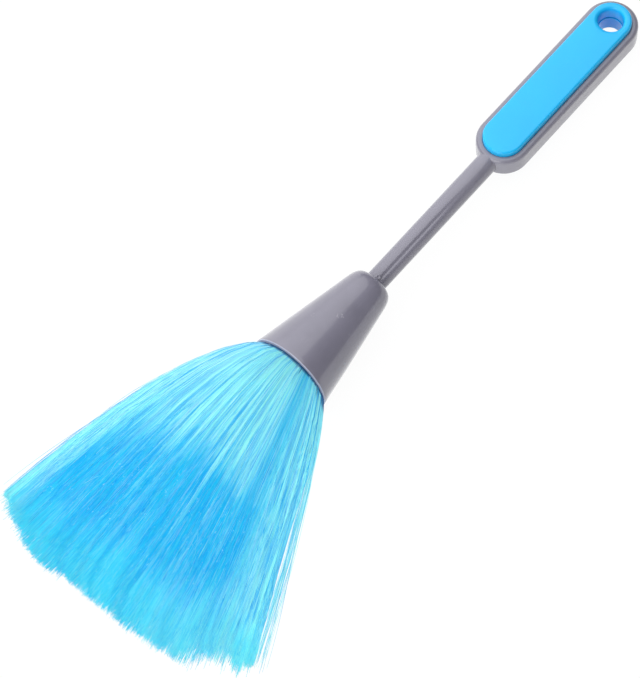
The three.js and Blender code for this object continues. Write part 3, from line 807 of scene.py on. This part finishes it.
filament = dict(
    # pale is partly the filament's own tone and partly painted sheen near the ferrule
    pale=(0.48, 0.90, 0.87, 1), paintedSheen=(0.65, 0.92, 0.94, 1), deep=(0.025, 0.695, 0.86, 1),
    # gap and line colour the painted shade in the hollows between clumps and in thin lines between strands
    gap=(0.012, 0.53, 0.84, 1), line=(0.008, 0.37, 0.76, 1), tip=(0.13, 0.92, 1.0, 1),
    shade=(0.004, 0.12, 0.36, 1), through=0.5, clear=0.96, clearTint=(0.95, 0.99, 1, 1),
    deepStart=0.47, deepSoft=0.09, wander=0.5, leftFrom=0.1, leftRise=0.12, leftSoft=0.16, flankDepth=0.9,
    rimCurve=0.008, streakRoughness=0.6, lineAlong=0.8, fleckStretch=(300, 60, 1),
    # streaks: how fine across, detail, how fine along; lines: how fine across, half width
    streaks=dict(strand=(420, 2, 0.8), streak=(130, 1, 0.8), clump=(45, 3, 1.5), wide=(62, 1, 0.8),
                 fine=(210, 1, 0.8)),
    lines=dict(hollow=(58, 0.03), dark=(90, 0.016), darkFine=(150, 0.014), glint=(75, 0.025)),
    hollowRange=(0.32, 0.46), hollows=dict(wide=0.35, streak=0.6, fine=0.85, strand=0.85),
    glintRange=(0.56, 0.68), glints=dict(wide=0.25, fine=0.7, strand=0.4),
    # ramps: from, to, then the values at both (0 and 1 where none are given)
    ramps=dict(
        leftCorner=(0.72, 0.92, 0, 0.65), deep=(-1, 1), flank=(-0.58, -0.36, 1, 0),
        flankStreaks=(0.36, 0.62, 0.45, 1), rightEdge=(-0.85, -0.55, 0.05, 1),
        rightTips=(-0.6, 0.0, 0.6, 0.08), leftTips=(0.7, 0.92, 0, 0.75), nearTip=(0.75, 1.0),
        deepStrands=(0.30, 0.46, 0.4, 0), paleStrands=(0.55, 0.70, 1, 0.75),
        sheenLeft=(0.1, 1.0), sheenNear=(0.1, 0.6, 1, 0), hollowClumps=(0.35, 0.6, 0.2, 0.9),
        darkClumps=(0.42, 0.6, 0, 0.9), darkFineClumps=(0.4, 0.58, 0.75, 0),
        glintStreaks=(0.42, 0.6, 0, 0.85), glintDeep=(0, 1, 1, 0.55),
        flecks=(0.70, 0.76), fleckAlong=(0.4, 0.7, 0, 0.8),
        tipEnd=(0.84, 1.0), tipStreaks=(0.38, 0.6, 0.15, 0.5), mouthShade=(0.007, 0.020, 0.85, 0),
        roughness=(0.2, 0.8, 0.32, 0.48)),
)


def filamentMaterial():
    # nylon filament that lets light through: pale near the ferrule, at the fan's sides and at its left
    # corner, deeper blue in the open middle and streaky on the right; each strand has its own tone. The pale
    # near the ferrule is partly the filament's tone and partly painted sheen; painted shade, painted glints
    # and a painted shadow inside the mouth lie over the tones
    m = filament
    material = bpy.data.materials.new("blueFilament")
    material.use_nodes = True
    tree = material.node_tree
    uvNode = tree.nodes.new("ShaderNodeUVMap")
    uvNode.uv_map = "OFBake"
    onMap = uvNode.outputs["UV"]

    def combine(operation, *values):
        return mathNode(tree, operation, *values)

    def ramp(value, name):
        return spread(tree, value, *m["ramps"][name])

    def streaks(across, detail, along):  # noise drawn out along the strands
        return noise(tree, stretched(tree, onMap, (across, along, 1)), 1.0, detail, m["streakRoughness"])

    def lines(name):  # thin lines where a stretched noise passes its middle value
        across, width = m["lines"][name]
        off = combine("SUBTRACT", streaks(across, 1, m["lineAlong"]), 0.5)
        return spread(tree, combine("ABSOLUTE", off), 0, width, 1, 0)

    def tinted(tint, share, colour):
        return blended(tree, share, tint, m[colour])

    tone = {name: streaks(*look) for name, look in m["streaks"].items()}
    parts = newNode(tree, "SeparateXYZ", {0: onMap})
    edges = strandMap["middle"] - strandMap["half"], strandMap["middle"] + strandMap["half"]
    across = spread(tree, parts.outputs["X"], *edges, -1, 1, "LINEAR")
    along = parts.outputs["Y"]
    # the deep zone starts later to the left, and later still in the left corner
    leftward = combine("MAXIMUM", combine("SUBTRACT", across, m["leftFrom"]), 0.0)
    start = combine("ADD", combine("MULTIPLY", leftward, m["leftRise"]), ramp(across, "leftCorner"))
    wander = combine("MULTIPLY", combine("SUBTRACT", tone["clump"], 0.5), m["wander"])
    past = combine("SUBTRACT", combine("ADD", combine("SUBTRACT", along, start), wander), m["deepStart"])
    soft = combine("MULTIPLY_ADD", combine("MAXIMUM", across, 0.0), m["leftSoft"], m["deepSoft"])
    deep = ramp(combine("DIVIDE", past, soft), "deep")
    flank = combine("MULTIPLY", ramp(across, "flank"), ramp(tone["streak"], "flankStreaks"))
    deep = combine("MAXIMUM", deep, combine("MULTIPLY", flank, m["flankDepth"]))
    deep = combine("MULTIPLY", deep, ramp(across, "rightEdge"))
    # tips turn pale at both sides, and single strands are deeper or paler than the rest
    paleTips = combine("MAXIMUM", ramp(across, "rightTips"), ramp(across, "leftTips"))
    paleTips = combine("MULTIPLY", ramp(along, "nearTip"), paleTips)
    deep = combine("MULTIPLY", deep, combine("SUBTRACT", 1.0, paleTips))
    deep = combine("MAXIMUM", deep, ramp(tone["streak"], "deepStrands"))
    deep = combine("MULTIPLY", deep, ramp(tone["streak"], "paleStrands"))
    # painted sheen on the left near the ferrule
    sheenShare = combine("MULTIPLY", ramp(across, "sheenLeft"), ramp(along, "sheenNear"))
    tint = tinted(tinted(m["pale"], sheenShare, "paintedSheen"), deep, "deep")
    # painted shade in the hollows between clumps and where strands would lie lower, with single dark lines of
    # painted shade between strands
    hollow = combine("MULTIPLY", lines("hollow"), ramp(tone["clump"], "hollowClumps"))
    for name, depth in m["hollows"].items():
        hollow = combine("MAXIMUM", hollow, spread(tree, tone[name], *m["hollowRange"], depth, 0))
    tint = tinted(tint, hollow, "gap")
    dark = combine("MULTIPLY", lines("dark"), ramp(tone["clump"], "darkClumps"))
    darkFine = combine("MULTIPLY", lines("darkFine"), ramp(tone["clump"], "darkFineClumps"))
    tint = tinted(tint, combine("MAXIMUM", dark, darkFine), "line")
    # painted glints on single strands, fewer in the deep zone, and short painted glints (flecks) towards the
    # tips
    glints = combine("MULTIPLY", lines("glint"), ramp(tone["streak"], "glintStreaks"))
    for name, strength in m["glints"].items():
        glints = combine("MAXIMUM", glints, spread(tree, tone[name], *m["glintRange"], 0, strength))
    tint = tinted(tint, combine("MULTIPLY", glints, ramp(deep, "glintDeep")), "paintedSheen")
    flecks = noise(tree, stretched(tree, onMap, m["fleckStretch"]), 1.0, 1)
    tint = tinted(tint, combine("MULTIPLY", ramp(flecks, "flecks"), ramp(along, "fleckAlong")), "paintedSheen")
    tint = tinted(tint, combine("MULTIPLY", ramp(along, "tipEnd"), ramp(tone["wide"], "tipStreaks")), "tip")
    # dark just inside the mouth
    fromRim = combine("MULTIPLY", combine("MULTIPLY", across, across), m["rimCurve"])
    tint = tinted(tint, ramp(combine("SUBTRACT", along, fromRim), "mouthShade"), "shade")
    surface = feed(tree, tree.nodes["Principled BSDF"],
                   {"Base Color": tint, "Roughness": ramp(tone["strand"], "roughness")})
    through = newNode(tree, "BsdfTranslucent", {"Color": tint})
    body = newNode(tree, "MixShader", {"Fac": m["through"], 1: surface.outputs[0], 2: through.outputs[0]})
    # most of a lamp's light passes the strands
    shadowRay = tree.nodes.new("ShaderNodeLightPath").outputs["Is Shadow Ray"]
    clear = newNode(tree, "BsdfTransparent", {"Color": m["clearTint"]})
    veil = newNode(tree, "MixShader", {"Fac": combine("MULTIPLY", shadowRay, m["clear"]),
                                       1: body.outputs[0], 2: clear.outputs[0]})
    feed(tree, tree.nodes["Material Output"], {"Surface": veil.outputs[0]})
    return material


blueFilament = filamentMaterial()
rng = np.random.default_rng(fan["seed"])
for level, height in ((1, "upper"), (-1, "lower")):
    for side, hand in ((1, "right"), (-1, "left")):
        name = height + hand.capitalize() + "Tuft"
        draws = bodyDraws(rng, side, level)
        # the filaments cast no shadow, apart from a share of those next to the table
        isBase = (draws["up"] < -fan["baseFrom"]) & (draws["phase"][:, 0] < 2 * np.pi * fan["baseShare"])
        draws["uneven"] -= fan["baseShort"] * isBase
        groups = {name: [tubeArrays(chosen(draws, ~isBase), bodySteps, rng),
                         tubeArrays(looseDraws(rng, side, level), looseSteps, rng), rootArrays(side, level)]}
        if isBase.any():
            groups[name + "Base"] = [tubeArrays(chosen(draws, isBase), bodySteps, rng)]
        for pieceName, arrays in groups.items():
            tuft = bpy.data.objects.new(pieceName, tuftMesh(pieceName, arrays))
            tuft.visible_shadow = pieceName != name
            scene.collection.objects.link(tuft)
            settle(tuft, blueFilament, "bristles", f"bristles_{height}_{hand}")
print("bristles built:", 4 * fan["perTuft"], "strands")


# The hidden pieces stay as solids.
glueFinish = dict(tint=(0.69, 0.62, 0.42), clouds=0.08, rubs=0.0, roughness=0.25, grain=4e-5, coat=0.0,
                  specular=0.5)
bandFinish = dict(tint=(0.77, 0.79, 0.80), clouds=0.04, rubs=0.05, roughness=0.5, grain=3e-5, coat=0.0,
                  specular=0.5)
for node, name, finish in (("glue_plug", "paleGlue", glueFinish), ("root_band", "whiteBand", bandFinish)):
    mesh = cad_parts[node].data
    mesh.materials.clear()
    mesh.materials.append(plasticMaterial(name, finish))
print("hidden pieces finished")
